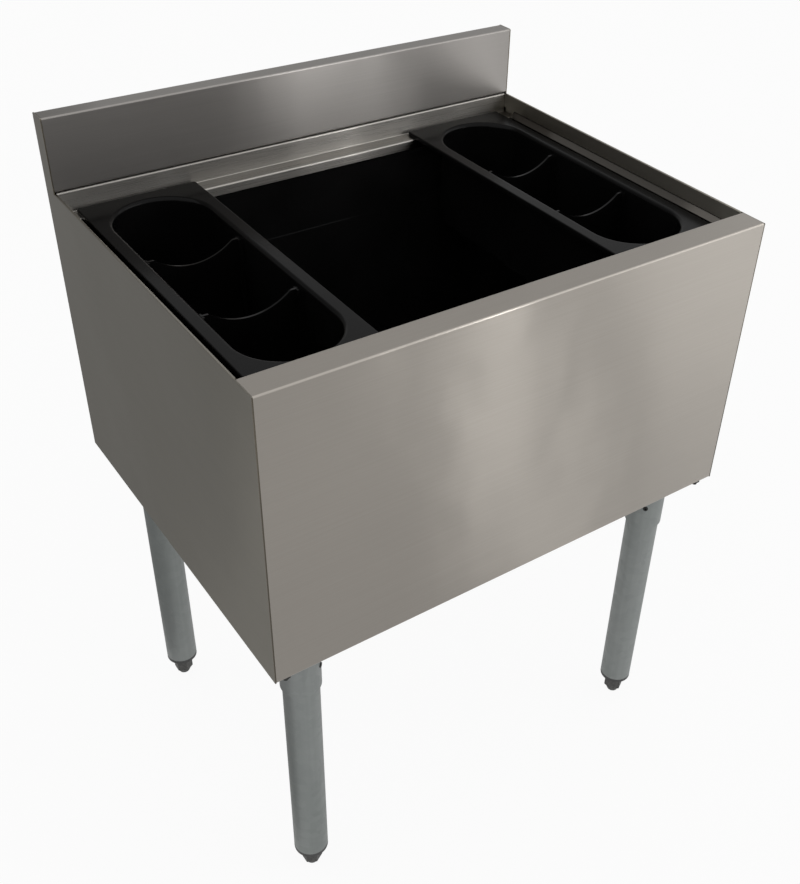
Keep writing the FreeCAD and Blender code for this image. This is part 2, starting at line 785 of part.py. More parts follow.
def make_drain():
    """Flanged drain with a long tail, its gasket, washer and lock nut, and a lift-out strainer."""
    tail_hole = "drain_thread_radius + fit_gap"
    body = new_body("drain_body")
    place(body, y="rim_middle")
    profile = new_sketch(body, "drain_profile", "XZ_Plane")
    add_outline(profile, [
        ("drain_bore_radius", "drain_bottom"),
        ("drain_tail_radius", "drain_bottom"),
        ("drain_tail_radius", "drain_shoulder"),
        ("drain_thread_radius", "drain_shoulder"),
        ("drain_thread_radius", "drain_flange_bottom"),
        ("drain_flange_radius", "drain_flange_bottom"),
        ("drain_flange_radius", "drain_flange_top"),
        ("strainer_radius + fit_gap", "drain_flange_top"),
        ("strainer_radius + fit_gap", "strainer_seat"),
        ("drain_bore_radius", "strainer_seat"),
    ])
    revolve(body, "drain_turned", profile)

    gasket = new_body("drain_gasket")
    place(gasket, y="rim_middle")
    add_ring(gasket, "gasket_ring", tail_hole, "drain_flange_radius", "sump_floor", "drain_gasket_thickness")

    washer = new_body("drain_washer")
    place(washer, y="rim_middle")
    add_ring(washer, "washer_ring", tail_hole, "drain_washer_radius",
             "sump_bottom - drain_washer_thickness", "drain_washer_thickness")

    nut = new_body("drain_locknut")
    place(nut, y="rim_middle")
    low = "sump_bottom - drain_washer_thickness - locknut_height"
    hexagon = new_sketch(nut, "locknut_outline", "XY_Plane", low)
    add_hexagon(hexagon, "locknut_flats")
    add_circle(hexagon, "0 * locknut_flats", "0 * locknut_flats", tail_hole)
    pad(nut, "locknut", hexagon, "locknut_height")

    strainer = new_body("drain_strainer")
    place(strainer, y="rim_middle")
    disc = new_sketch(strainer, "strainer_profile", "XZ_Plane")
    collar = "drain_bore_radius - fit_gap"
    add_outline(disc, [
        ("0 * strainer_radius", "strainer_seat"),
        (f"{collar} - strainer_thickness", "strainer_seat"),
        (f"{collar} - strainer_thickness", "strainer_seat - strainer_collar"),
        (collar, "strainer_seat - strainer_collar"),
        (collar, "strainer_seat"),
        ("strainer_radius", "strainer_seat"),
        ("strainer_radius", "drain_flange_top"),
        ("strainer_knob_radius", "drain_flange_top"),
        ("strainer_knob_radius", "drain_flange_top + strainer_knob_height"),
        ("0 * strainer_radius", "drain_flange_top + strainer_knob_height"),
    ])
    revolve(strainer, "strainer_turned", disc)
    round_edges(strainer, "knob_rounding", "strainer_knob_radius / 2",
                lies_on(z=value("drain_flange_top + strainer_knob_height")))
    holes = new_sketch(strainer, "strainer_holes", "XY_Plane", "strainer_seat")
    for step in range(STRAINER_HOLES):
        angle = 360 * step / STRAINER_HOLES
        add_circle(holes, f"strainer_ring_radius * cos({angle})", f"strainer_ring_radius * sin({angle})",
                   "strainer_hole_radius")
    pocket(strainer, "strainer_drilled", holes, "strainer_thickness", reverse=True)


# Bottle wells and dividers

def make_well(label, x):
    """Moulded well: a skirted flange that rests on the ledges and a round-ended tub with a rolled lip."""
    half_x = "well_flange_width / 2"
    half_y = "well_flange_length / 2"
    tub = "well_radius + well_wall"
    body = new_body(label)
    place(body, x, "rim_middle")
    flange = new_sketch(body, label + "_flange_outline", "XY_Plane", "well_top")
    add_rectangle(flange, f"-{half_x}", f"-{half_y}", half_x, half_y)
    pad(body, label + "_flange", flange, "well_flange_rise", reverse=True)
    round_edges(body, label + "_flange_corners", "well_flange_corner", upright_edges)
    hollow = new_sketch(body, label + "_skirt_outline", "XY_Plane", "ledge_top")
    add_rectangle(hollow, f"well_wall - {half_x}", f"well_wall - {half_y}",
                  f"{half_x} - well_wall", f"{half_y} - well_wall")
    pocket(body, label + "_skirt", hollow, "well_flange_rise - well_wall", reverse=True)
    outside = new_sketch(body, label + "_tub_outline", "XY_Plane", "well_underside")
    add_stadium(outside, tub, "-well_half_straight", "well_half_straight")
    pad(body, label + "_tub", outside, "well_underside - well_bottom", reverse=True)

    def on_slot(radius, level):
        return lambda edge: all(near(abs(vertex.X), value(radius)) and near(vertex.Z, value(level))
                                for vertex in edge.Vertexes)

    round_edges(body, label + "_under_lip", "well_lip_radius - well_wall", on_slot(tub, "well_underside"))
    inside = new_sketch(body, label + "_hollow_outline", "XY_Plane", "well_top")
    add_stadium(inside, "well_radius", "-well_half_straight", "well_half_straight")
    pocket(body, label + "_hollow", inside, "well_depth - well_wall")
    round_edges(body, label + "_inner_base", "well_base_round - well_wall",
                on_slot("well_radius", "well_floor"))
    round_edges(body, label + "_base", "well_base_round", on_slot(tub, "well_bottom"))
    round_edges(body, label + "_lip", "well_lip_radius", on_slot("well_radius", "well_top"))
    rim_x = value(half_x)
    rim_y = value(half_y)
    inset = value("well_flange_corner")
    top = value("well_top")

    def on_flange_rim(edge):
        return all(near(vertex.Z, top) and (near(abs(vertex.X), rim_x) or near(abs(vertex.Y), rim_y)
                                            or abs(vertex.X) > rim_x - inset - 0.01)
                   for vertex in edge.Vertexes)

    round_edges(body, label + "_flange_rim", "well_flange_round", on_flange_rim)
    guides = new_sketch(body, label + "_guide_outlines", "XY_Plane", "well_floor - well_wall / 2")
    slot = "(divider_thickness / 2 + divider_gap)"
    for middle in ("-divider_spacing / 2", "divider_spacing / 2"):
        for near_y, far_y in ((f"-{slot} - guide_width", f"-{slot}"), (slot, f"{slot} + guide_width")):
            for low, high in (("-well_radius - well_wall / 2", "guide_proud - well_radius"),
                              ("well_radius - guide_proud", "well_radius + well_wall / 2")):
                add_rectangle(guides, low, f"{middle} + {near_y}", high, f"{middle} + {far_y}")
    pad(body, label + "_guides", guides, "divider_top - well_floor + well_wall / 2 - fit_gap")


def make_divider(label, x, y):
    """Plate that drops into a pair of guides, with a scooped top edge for the bottle necks."""
    body = new_body(label)
    place(body, x, y)
    half = "divider_half_width"
    outline = new_sketch(body, label + "_outline", "XZ_Plane", "-divider_thickness / 2")
    add_outline(outline, [
        (f"divider_chamfer - {half}", "well_floor"),
        (f"{half} - divider_chamfer", "well_floor"),
        (half, "well_floor + divider_chamfer"),
        (half, "divider_top"),
        (f"-{half}", "divider_top"),
        (f"-{half}", "well_floor + divider_chamfer"),
    ])
    pad(body, label + "_plate", outline, "divider_thickness")
    scoop = new_sketch(body, label + "_scoop_outline", "XZ_Plane", "-divider_thickness / 2")
    radius = "((scoop_width / 2) ^ 2 + scoop_depth ^ 2) / (2 * scoop_depth)"
    add_circle(scoop, "0 * scoop_width", f"divider_top - scoop_depth + {radius}", radius)
    pocket(body, label + "_scoop", scoop, "divider_thickness", reverse=True)
    half_scoop = value("scoop_width / 2")
    top = value("divider_top")
    round_edges(body, label + "_shoulders", "shoulder_round",
                any_of(lies_on(x=-half_scoop, z=top), lies_on(x=half_scoop, z=top)))


# Legs, sockets and feet

def screw_heading(inboard):
    """Angle of a set screw about its leg: straight forward, then turned inboard."""
    return f"270 {'+' if inboard > 0 else '-'} set_screw_turn"


def make_socket(label, x, y, inboard):
    """Bolted plate with a sleeve for the leg and a set screw hole that faces forward and inboard."""
    body = new_body(label)
    place(body, x, y)
    reach = "socket_plate / 2"
    plate = new_sketch(body, label + "_plate_outline", "XY_Plane", "panel_underside")
    add_rectangle(plate, f"-{reach}", f"-{reach}", reach, reach)
    pad(body, label + "_plate", plate, "socket_plate_thickness", reverse=True)
    round_edges(body, label + "_plate_corners", "socket_plate_corner", upright_edges)
    sleeve = new_sketch(body, label + "_sleeve_outline", "XY_Plane", "socket_underside")
    add_circle(sleeve, "0 * leg_radius", "0 * leg_radius", "sleeve_radius")
    length = "socket_height - socket_plate_thickness"
    pad(body, label + "_sleeve", sleeve, length, reverse=True)
    root = value("socket_underside")
    radius = value("sleeve_radius")
    round_edges(body, label + "_root", "socket_root_round",
                lambda edge: near(edge.BoundBox.ZMin, root) and near(edge.BoundBox.ZMax, root)
                and near(edge.BoundBox.XLength, 2 * radius))
    bore = new_sketch(body, label + "_bore_outline", "XY_Plane", "socket_underside")
    add_circle(bore, "0 * leg_radius", "0 * leg_radius", "socket_bore")
    pocket(body, label + "_bore", bore, length)
    holes = new_sketch(body, label + "_bolt_outlines", "XY_Plane", "panel_underside")
    for hole_x, hole_y in corners_of("socket_bolt_spacing / 2", "socket_bolt_spacing / 2"):
        add_circle(holes, hole_x, hole_y, "bolt_hole")
    pocket(body, label + "_bolt_holes", holes, "socket_plate_thickness")
    screw = new_sketch(body, label + "_screw_outline", "YZ_Plane")
    screw.AttachmentOffset = Placement(Vector(0, 0, 0), Rotation(Vector(0, 1, 0), 270))
    bind(screw, "AttachmentOffset.Rotation.Angle", screw_heading(inboard))
    add_circle(screw, "0 * leg_radius", "set_screw_level", "set_screw_radius + bolt_hole_gap")
    pocket(body, label + "_screw_hole", screw, "2 * sleeve_radius", reverse=True)


def make_leg(label, x, y):
    body = new_body(label)
    place(body, x, y)
    add_ring(body, label + "_tube", "leg_radius - leg_wall", "leg_radius",
             "foot_height", "socket_underside - foot_height")


def make_plug(label, x, y):
    """Threaded plug pressed into the tube end, with a rim the size of the tube and a tapered nose."""
    body = new_body(label)
    place(body, x, y)
    profile = new_sketch(body, label + "_profile", "XZ_Plane")
    bore = "foot_stem_radius + fit_gap"
    neck = "leg_radius - leg_wall - fit_gap"
    add_outline(profile, [
        (bore, "plug_bottom"),
        ("leg_radius - plug_taper", "plug_bottom"),
        ("leg_radius", "plug_bottom + plug_taper"),
        ("leg_radius", "foot_height"),
        (neck, "foot_height"),
        (neck, "foot_height + plug_length"),
        (bore, "foot_height + plug_length"),
    ])
    revolve(body, label + "_turned", profile)


def make_foot(label, x, y):
    """Bullet foot: a blunt tip, a hexagon for the spanner and a stem that screws into the plug."""
    body = new_body(label)
    place(body, x, y)
    profile = new_sketch(body, label + "_profile", "XZ_Plane")
    add_outline(profile, [
        ("0 * foot_tip_radius", "0 * foot_tip_height"),
        ("foot_tip_radius", "0 * foot_tip_height"),
        ("foot_flats / 2", "foot_tip_height"),
        ("foot_stem_radius", "foot_tip_height"),
        ("foot_stem_radius", "plug_bottom + foot_stem_length"),
        ("0 * foot_tip_radius", "plug_bottom + foot_stem_length"),
    ])
    revolve(body, label + "_turned", profile)
    hexagon = new_sketch(body, label + "_hexagon", "XY_Plane", "foot_tip_height")
    add_hexagon(hexagon, "foot_flats")
    pad(body, label + "_spanner_flats", hexagon, "plug_bottom - foot_tip_height")


# Fasteners

def make_bolt(name, low, head, length):
    """Hexagon head with a plain shank above it, from a low level upwards."""
    cap = doc.addObject("Part::Prism", name + "_head")
    cap.Polygon = 6
    bind(cap, "Circumradius", "bolt_flats / sqrt(3)")
    bind(cap, "Height", head)
    place(cap, z=low)
    shank = doc.addObject("Part::Cylinder", name + "_shank")
    bind(shank, "Radius", "bolt_radius")
    bind(shank, "Height", f"({head}) + ({length})")
    place(shank, z=low)
    bolt = doc.addObject("Part::Fuse", name)
    bolt.Base = cap
    bolt.Tool = shank
    return bolt


def make_nut(name, low):
    cap = doc.addObject("Part::Prism", name + "_block")
    cap.Polygon = 6
    bind(cap, "Circumradius", "bolt_flats / sqrt(3)")
    bind(cap, "Height", "nut_height")
    place(cap, z=low)
    hole = doc.addObject("Part::Cylinder", name + "_thread")
    bind(hole, "Radius", "bolt_hole")
    bind(hole, "Height", "nut_height")
    place(hole, z=low)
    nut = doc.addObject("Part::Cut", name)
    nut.Base = cap
    nut.Tool = hole
    return nut


def flat_spots(pairs):
    return [(x, y, "0") for x, y in pairs]


def make_fasteners():
    spots = flat_spots(socket_bolt_spots())
    bolt = make_bolt("socket_bolt", "socket_underside - bolt_head", "bolt_head",
                     "socket_plate_thickness + steel_gauge + nut_height + bolt_tail / 2")
    spread("socket_bolts", [(bolt, spots)])
    spread("socket_nuts", [(make_nut("socket_nut", "body_bottom"), spots)])

    spots = flat_spots(corner_bolt_spots())
    bolt = make_bolt("corner_bolt", "0", "bolt_head", "2 * steel_gauge + nut_height + bolt_tail")
    turned = doc.addObject("Part::Feature", "corner_bolt_turned")
    doc.recompute()
    turned.Shape = bolt.Shape.copy()
    turned.Placement = Placement(Vector(0, 0, value("body_bottom + steel_gauge + bolt_head")),
                                 Rotation(Vector(1, 0, 0), 180))
    spread("corner_bolts", [(turned, spots)])
    spread("corner_nuts", [(make_nut("corner_nut", "panel_underside - nut_height"), spots)])

    screw = doc.addObject("Part::Cylinder", "set_screw_pin")
    bind(screw, "Radius", "set_screw_radius")
    bind(screw, "Height", "sleeve_radius - leg_radius + set_screw_proud")
    key = doc.addObject("Part::Prism", "set_screw_recess")
    key.Polygon = 6
    bind(key, "Circumradius", "set_screw_key / sqrt(3)")
    bind(key, "Height", "set_screw_proud + socket_wall / 2")
    place(key, z="sleeve_radius - leg_radius - socket_wall / 2")
    keyed = doc.addObject("Part::Cut", "set_screw")
    keyed.Base = screw
    keyed.Tool = key
    doc.recompute()
    groups = []
    for side, inboard in (("-", 1), ("+", -1)):
        heading = screw_heading(inboard)
        legs = "left" if inboard > 0 else "right"
        pointed = doc.addObject("Part::Feature", f"set_screw_for_{legs}_legs")
        pointed.Shape = keyed.Shape.copy()
        forward = Rotation(Vector(0, 0, 1), value(heading)).multiply(Rotation(Vector(0, 1, 0), 90))
        pointed.Placement = Placement(Vector(0, 0, 0), forward)
        x = f"{side}(leg_side) + leg_radius * cos({heading})"
        y = f"leg_radius * sin({heading})"
        groups.append((pointed, [(x, f"{end}(leg_end) + {y}", "set_screw_level") for end in ("-", "+")]))
    spread("set_screws", groups)

    rivet = doc.addObject("Part::Feature", "rivet")
    stack = value("2 * steel_gauge")
    tail = value("rivet_tail")
    axis = Vector(0, 1, 0)
    shank = Part.makeCylinder(value("rivet_radius"), stack + tail, Vector(0, -stack - tail, 0), axis)
    button = Part.makeCylinder(value("rivet_tail_radius"), tail, Vector(0, -stack - tail, 0), axis)
    depth = value("rivet_head")
    head = Part.makeCone(value("rivet_radius"), value("rivet_head_radius"), depth, Vector(0, -depth, 0), axis)
    rivet.Shape = shank.fuse([button, head]).removeSplitter()
    spread("back_panel_rivets", [(rivet, [(x, "back_face", z) for x, z in rivet_spots()])])


def side_rivet_levels():
    return [f"body_bottom + rivet_start + {step} * rivet_pitch" for step in range(SIDE_RIVETS)]


def rivet_spots():
    column = [(f"{side}(half_width - rivet_inset)", level)
              for side in ("-", "+") for level in side_rivet_levels()]
    row = [(f"{step} * rivet_row_pitch", "splash_top - splash_lap / 2") for step in (-1, 0, 1)]
    return column + row


def drill(label, name, plane, offset, spots, radius, depth, reverse=False):
    """Row of equal holes through a sheet."""
    body = nodes[label]
    sketch = new_sketch(body, f"{label}_{name}_outline", plane, offset)
    for x, y in spots:
        add_circle(sketch, x, y, radius)
    return pocket(body, f"{label}_{name}", sketch, depth, reverse)


# Build every piece

make_front_panel()
make_left_panel()
make_backsplash()
make_back_panel()
make_bottom_panel()
front_corners = corner_bolt_spots()[:2]
rear_corners = corner_bolt_spots()[2:]
drill("front_panel", "bolt_holes", "XY_Plane", "body_bottom", front_corners, "bolt_hole", "steel_gauge", True)
drill("back_panel", "bolt_holes", "XY_Plane", "body_bottom", rear_corners, "bolt_hole", "steel_gauge", True)
drill("back_panel", "rivet_holes", "XZ_Plane", "-lap_face", rivet_spots(), "rivet_hole", "steel_gauge")
seats = drill("back_panel", "rivet_seats", "XZ_Plane", "-back_face", rivet_spots(),
              "rivet_head_radius + bolt_hole_gap", "rivet_head", True)
bind(seats, "TaperAngle", "-rivet_slope")
drill("left_side_panel", "rivet_holes", "XZ_Plane", "steel_gauge - lap_face",
      rivet_spots()[:SIDE_RIVETS], "rivet_hole", "steel_gauge")
drill("backsplash", "rivet_holes", "XZ_Plane", "steel_gauge - lap_face",
      rivet_spots()[2 * SIDE_RIVETS:], "rivet_hole", "steel_gauge")
mirror_across("right_side_panel", nodes["left_side_panel"])
make_rear_rim()
make_front_rim()
make_left_rim()
mirror_across("right_rim", nodes["left_rim"])
make_liner()
make_insulation()
make_drain()
for side, sign in (("left", "-"), ("right", "+")):
    middle = f"{sign}(well_side)"
    make_well(f"{side}_bottle_well", middle)
    for end, way in (("front", "-"), ("rear", "+")):
        make_divider(f"{side}_{end}_divider", middle, f"rim_middle {way} divider_spacing / 2")
for end, way in (("front", "-"), ("rear", "+")):
    for side, sign, inboard in (("left", "-", 1), ("right", "+", -1)):
        corner = f"{side}_{end}"
        spot = (f"{sign}(leg_side)", f"{way}(leg_end)")
        make_socket(corner + "_socket", *spot, inboard)
        make_leg(corner + "_leg", *spot)
        make_plug(corner + "_plug", *spot)
        make_foot(corner + "_foot", *spot)
make_fasteners()

# Check and write the pieces

doc.recompute()
for item in doc.Objects:
    if "Invalid" in item.State or "Error" in item.State:
        raise RuntimeError(f"{item.Label}: {item.State}")
os.makedirs("parts", exist_ok=True)
for label, piece in nodes.items():
    shape = piece.Shape
    if shape.isNull() or not shape.isValid():
        raise RuntimeError(f"{label}: no valid shape")
    shape.exportStep(f"parts/{label}.step")
    print(label, len(shape.Solids), round(shape.Volume))
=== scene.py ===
# %% [markdown]
# # An underbar ice bin, dressed for its picture
# The real object is a folded stainless box on four galvanised legs. It holds ice in a black moulded
# liner, and two black bottle wells hang on its stepped rim. The solids come from the CAD model, so
# this lesson is about finishes, light and the small details that the solids leave out.

# %% Load the solids
import math

import bpy
from mathutils import Matrix, Vector


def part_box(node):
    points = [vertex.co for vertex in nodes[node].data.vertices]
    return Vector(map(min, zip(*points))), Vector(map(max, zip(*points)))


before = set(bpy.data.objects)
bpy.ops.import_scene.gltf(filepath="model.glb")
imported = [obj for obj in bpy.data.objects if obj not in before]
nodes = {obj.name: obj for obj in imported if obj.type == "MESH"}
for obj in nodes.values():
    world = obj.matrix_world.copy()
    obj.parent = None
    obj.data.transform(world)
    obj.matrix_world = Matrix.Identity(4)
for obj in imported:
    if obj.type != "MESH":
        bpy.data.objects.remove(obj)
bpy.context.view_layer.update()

print("pieces from the CAD model:", len(nodes))

# %% [markdown]
# ## The camera
# The picture was taken from the front left, looking down. A camera can be aimed with a constraint, but
# here its three axes are worked out from turn, tilt and roll, because the picture also leans a little.
# A small sideways shift puts the middle of the lens where the picture has it.

# %% Camera
CAMERA_SPOT = Vector((-0.6266, -0.9373, 1.2770))
CAMERA_TURN = math.radians(-36.459)
CAMERA_TILT = math.radians(36.794)
CAMERA_ROLL = math.radians(2.266)
LENS_MM = 46.231
LENS_SHIFT = -0.0494

back = Vector((math.sin(CAMERA_TURN) * math.cos(CAMERA_TILT),
               -math.cos(CAMERA_TURN) * math.cos(CAMERA_TILT),
               math.sin(CAMERA_TILT)))
level = Vector((math.cos(CAMERA_TURN), math.sin(CAMERA_TURN), 0))
upward = back.cross(level)
across = math.cos(CAMERA_ROLL) * level + math.sin(CAMERA_ROLL) * upward
upward = back.cross(across)

lens = bpy.data.cameras.new("camera")
lens.sensor_fit = "VERTICAL"
lens.sensor_height = 36
lens.lens = LENS_MM
lens.shift_x = LENS_SHIFT
lens.clip_start = 0.05
camera = bpy.data.objects.new("camera", lens)
bpy.context.scene.collection.objects.link(camera)
camera.matrix_world = Matrix.Translation(CAMERA_SPOT) @ Matrix((across, upward, back)).transposed().to_4x4()
bpy.context.scene.camera = camera
print("camera stands", round(CAMERA_SPOT.length, 2), "m from the origin")

# %% [markdown]
# ## A finish to start from
# Every finish here is one physically based shader with a few texture nodes in front of it. The first
# helper makes the shader with its even values. The second gives a finish to pieces, in place of the plain
# one that they came with, and says how many wear it.

# %% Shader helpers
def new_finish(name, metallic, roughness, colour):
    """Material with one shader, and its node tree ready for textures."""
    finish = bpy.data.materials.new(name)
    finish.use_nodes = True
    tree = finish.node_tree
    shader = tree.nodes["Principled BSDF"]
    shader.inputs["Metallic"].default_value = metallic
    shader.inputs["Roughness"].default_value = roughness
    shader.inputs["Base Color"].default_value = (*colour, 1)
    return finish, tree, shader


def wear(finish, *names):
    """Give a finish to CAD pieces."""
    for name in names:
        mesh = nodes[name].data
        mesh.materials.clear()
        mesh.materials.append(finish)
    print(finish.name, "on", len(names), "pieces")


# %% [markdown]
# ## Noise, and what is made of it
# No real surface is even. A noise texture gives each point a number between 0 and 1. Squeezed along one axis
# less than along the others, it turns into streaks, like grain or scratches. A ramp makes a colour of the
# number, a range makes a roughness of it, and a product lays one shade over another.

# %% Noise helpers
EVEN = (1.0, 1.0, 1.0)
WHITE = (1, 1, 1)
NOISE_LOW = 0.25
NOISE_HIGH = 0.75


def stretched_noise(tree, stretch, scale=1.0, detail=3.0):
    """Noise in the object's own metres, squeezed by a factor along each axis."""
    place = tree.nodes.new("ShaderNodeTexCoord")
    squeeze = tree.nodes.new("ShaderNodeMapping")
    squeeze.inputs["Scale"].default_value = stretch
    noise = tree.nodes.new("ShaderNodeTexNoise")
    noise.inputs["Scale"].default_value = scale
    noise.inputs["Detail"].default_value = detail
    tree.links.new(place.outputs["Object"], squeeze.inputs["Vector"])
    tree.links.new(squeeze.outputs["Vector"], noise.inputs["Vector"])
    return noise.outputs["Fac"]


def ramp(tree, factor, low, high, start=0.3, end=0.7):
    """Colour that goes from low to high as the factor goes from start to end."""
    node = tree.nodes.new("ShaderNodeValToRGB")
    node.color_ramp.elements[0].position = start
    node.color_ramp.elements[1].position = end
    node.color_ramp.elements[0].color = (*low, 1)
    node.color_ramp.elements[1].color = (*high, 1)
    tree.links.new(factor, node.inputs["Fac"])
    return node.outputs["Color"]


def blend_number(tree, factor, low, high):
    """Number between low and high."""
    node = tree.nodes.new("ShaderNodeMapRange")
    node.inputs["From Min"].default_value = NOISE_LOW
    node.inputs["From Max"].default_value = NOISE_HIGH
    node.inputs["To Min"].default_value = low
    node.inputs["To Max"].default_value = high
    tree.links.new(factor, node.inputs["Value"])
    return node.outputs["Result"]


def multiply(tree, one, other):
    """Product of two colours."""
    node = tree.nodes.new("ShaderNodeMix")
    node.data_type = "RGBA"
    node.blend_type = "MULTIPLY"
    node.inputs["Factor"].default_value = 1.0
    tree.links.new(one, node.inputs["A"])
    tree.links.new(other, node.inputs["B"])
    return node.outputs["Result"]


# %% [markdown]
# ## Bump and sums
# Grain and scratches are too fine to model. A bump node turns a height into a tilt of the surface, and light
# falls on it as if the grain were there. Distances in a bump are in metres, so they are very small here.
# Sums of places and angles need many small nodes, so one more helper makes a sum in a line.

# %% Bump and sum helpers
def add_bump(tree, shader, height, strength, distance):
    """Bump on a shader, from a height between 0 and 1 and the distance that 1 stands for."""
    node = tree.nodes.new("ShaderNodeBump")
    node.inputs["Strength"].default_value = strength
    node.inputs["Distance"].default_value = distance
    tree.links.new(height, node.inputs["Height"])
    tree.links.new(node.outputs["Normal"], shader.inputs["Normal"])
    return node


def maths(tree, operation, first, second=0.0):
    """One sum with sockets or plain numbers."""
    node = tree.nodes.new("ShaderNodeMath")
    node.operation = operation
    for socket, value in zip(node.inputs, (first, second)):
        if isinstance(value, (int, float)):
            socket.default_value = value
        else:
            tree.links.new(value, socket)
    return node.outputs["Value"]


# %% [markdown]
# ## Grain, painted bend highlights and painted corner shade
# The sheets were brushed in one direction, so each one is covered in fine straight scratches: a noise that is
# squeezed until it is only lines. A painted highlight makes the level bends bright, and a painted shade
# darkens the sheet where it turns round the upright corners. They could be painted by hand, but the direction
# that the
# surface faces finds them as well: on a level bend it lies between two axes, and round an upright corner it
# turns towards the way of the grain.

# %% Grain, painted bend highlights and corner shade
def along_grain(grain_axis, across_grain, with_grain):
    """Squeeze for a noise that runs in lines along one axis."""
    return [with_grain if axis == grain_axis else across_grain for axis in "XYZ"]


def painted_bend_and_corner_masks(tree, grain_axis):
    """Two masks that are 0 on the flat sheet: one is 1 half way round a level bend, for a painted highlight,
    and one is 1 where the surface faces the way of the grain, for a painted corner shade.
    """
    place = tree.nodes.new("ShaderNodeTexCoord")
    facing = tree.nodes.new("ShaderNodeSeparateXYZ")
    tree.links.new(place.outputs["Normal"], facing.inputs["Vector"])
    between = maths(tree, "MULTIPLY", facing.outputs["Y"], facing.outputs["Z"])
    bend = maths(tree, "MULTIPLY", maths(tree, "ABSOLUTE", between), 2.0)
    # painted shade mask: 1 where the surface faces the way of the grain, round the upright corners
    end = maths(tree, "ABSOLUTE", facing.outputs[grain_axis])
    return bend, end


# %% [markdown]
# ## Sheet that isn't quite flat
# Thin sheet is never quite flat. Dents in the mesh would need many faces, so bump does it: slow waves, a
# shallow ripple on them and the scratches on top make the reflections wander a little.

# %% Uneven sheet
RIPPLES = (16.0, 16.0, 16.0)
SCRATCH_DEPTH = 0.0001
SCRATCH_STRENGTH = 0.03


def uneven_sheet(tree, shader, waves, ripple_depth, scratches):
    """Bump of a thin sheet. Waves are their number in a metre and their depth."""
    wave_number, wave_depth = waves
    swell = stretched_noise(tree, (wave_number, wave_number, wave_number), detail=0.0)
    sheet = add_bump(tree, shader, swell, 1.0, wave_depth)
    uneven = stretched_noise(tree, RIPPLES, detail=1.0)
    ripple = add_bump(tree, shader, uneven, 1.0, ripple_depth)
    grain = add_bump(tree, shader, scratches, SCRATCH_STRENGTH, SCRATCH_DEPTH)
    tree.links.new(sheet.outputs["Normal"], ripple.inputs["Normal"])
    tree.links.new(ripple.outputs["Normal"], grain.inputs["Normal"])


# %% [markdown]
# ## Brushed stainless
# A reflection stays clear along the scratches and smears across them. An even roughness would smear it all
# ways, so the shader is anisotropic, with its tangent turned round the grain's axis. Streaks and clouds keep
# the grey from being the same all over.

# %% Stainless
STEEL_DARK = (0.322, 0.299, 0.27)
STEEL_LIGHT = (0.336, 0.312, 0.282)
# painted highlight for the level bends, and painted shade for the upright corners
BEND_PAINTED_HIGHLIGHT = (1.4, 1.4, 1.4)
CORNER_PAINTED_SHADE = (0.3, 0.28, 0.25)
CLOUD_SHADE = (0.94, 0.94, 0.94)
SCRATCH_SHADE = (0.96, 0.96, 0.96)
SCRATCHES = {"across_grain": 1800.0, "with_grain": 12.0}
STREAKS = {"across_grain": 900.0, "with_grain": 3.5}
CLOUDS = (3.0, 3.0, 3.0)


def brushed_steel(name, grain_axis, roughness, waves, ripple_depth, tint=WHITE):
    """Sheet brushed along one axis, with a tint on the steel's own grey; on the splash and the side strips
    the tint is also a painted shade.
    """
    finish, tree, shader = new_finish(name, 1.0, roughness[0], STEEL_LIGHT)
    scratches = stretched_noise(tree, along_grain(grain_axis, **SCRATCHES))
    streaks = stretched_noise(tree, along_grain(grain_axis, **STREAKS))
    clouds = stretched_noise(tree, CLOUDS, detail=2.0)
    dark = [part * share for part, share in zip(STEEL_DARK, tint)]
    light = [part * share for part, share in zip(STEEL_LIGHT, tint)]
    grey = ramp(tree, streaks, dark, light)
    grey = multiply(tree, grey, ramp(tree, clouds, CLOUD_SHADE, WHITE))
    grey = multiply(tree, grey, ramp(tree, scratches, SCRATCH_SHADE, WHITE))
    # painted highlight on the level bends, and painted shade round the upright corners
    for share, shade in zip(painted_bend_and_corner_masks(tree, grain_axis), (BEND_PAINTED_HIGHLIGHT, CORNER_PAINTED_SHADE)):
        grey = multiply(tree, grey, ramp(tree, share, WHITE, shade, start=0.2, end=0.8))
    tree.links.new(grey, shader.inputs["Base Color"])
    tree.links.new(blend_number(tree, scratches, *roughness), shader.inputs["Roughness"])
    shader.inputs["Anisotropic"].default_value = 1.0
    tangent = tree.nodes.new("ShaderNodeTangent")
    tangent.direction_type = "RADIAL"
    tangent.axis = grain_axis
    tree.links.new(tangent.outputs["Tangent"], shader.inputs["Tangent"])
    uneven_sheet(tree, shader, waves, ripple_depth, scratches)
    return finish


# %% [markdown]
# ## Which sheet is brushed which way
# The side panels and side strips are brushed from front to back, and all others from side to side. The wide
# panels bend in long waves with a ripple on them, while the narrow strips are stiffer and have short, shallow
# waves. The splash is folded to a box, which holds it flat; its grey is a little colder, and a painted shade
# makes it a little darker. The side panels are a little lighter, and the strips at the sides carry a heavy
# painted shade, a painted dark reflection of the black wells beside them.

# %% Steel pieces
SHEET_ROUGHNESS = (0.29, 0.33)
STRIP_ROUGHNESS = (0.26, 0.31)
SIDE_STRIP_ROUGHNESS = (0.2, 0.26)
SHEET_WAVES = (4.0, 0.008)
STRIP_WAVES = (11.0, 0.002)
PANEL_RIPPLE = 0.0006
FAINT_RIPPLE = 0.0002
# the splash's grey is a little colder, and a painted shade makes it darker
SPLASH_TINT_AND_SHADE = (0.8, 0.82, 0.86)
SIDE_TINT = (1.1, 1.12, 1.08)
RIM_TINT = (0.96, 0.99, 1.02)
# painted shade for the side strips: they are painted as dark as the black wells that they reflect
SIDE_STRIP_PAINTED_SHADE = (0.38, 0.38, 0.38)

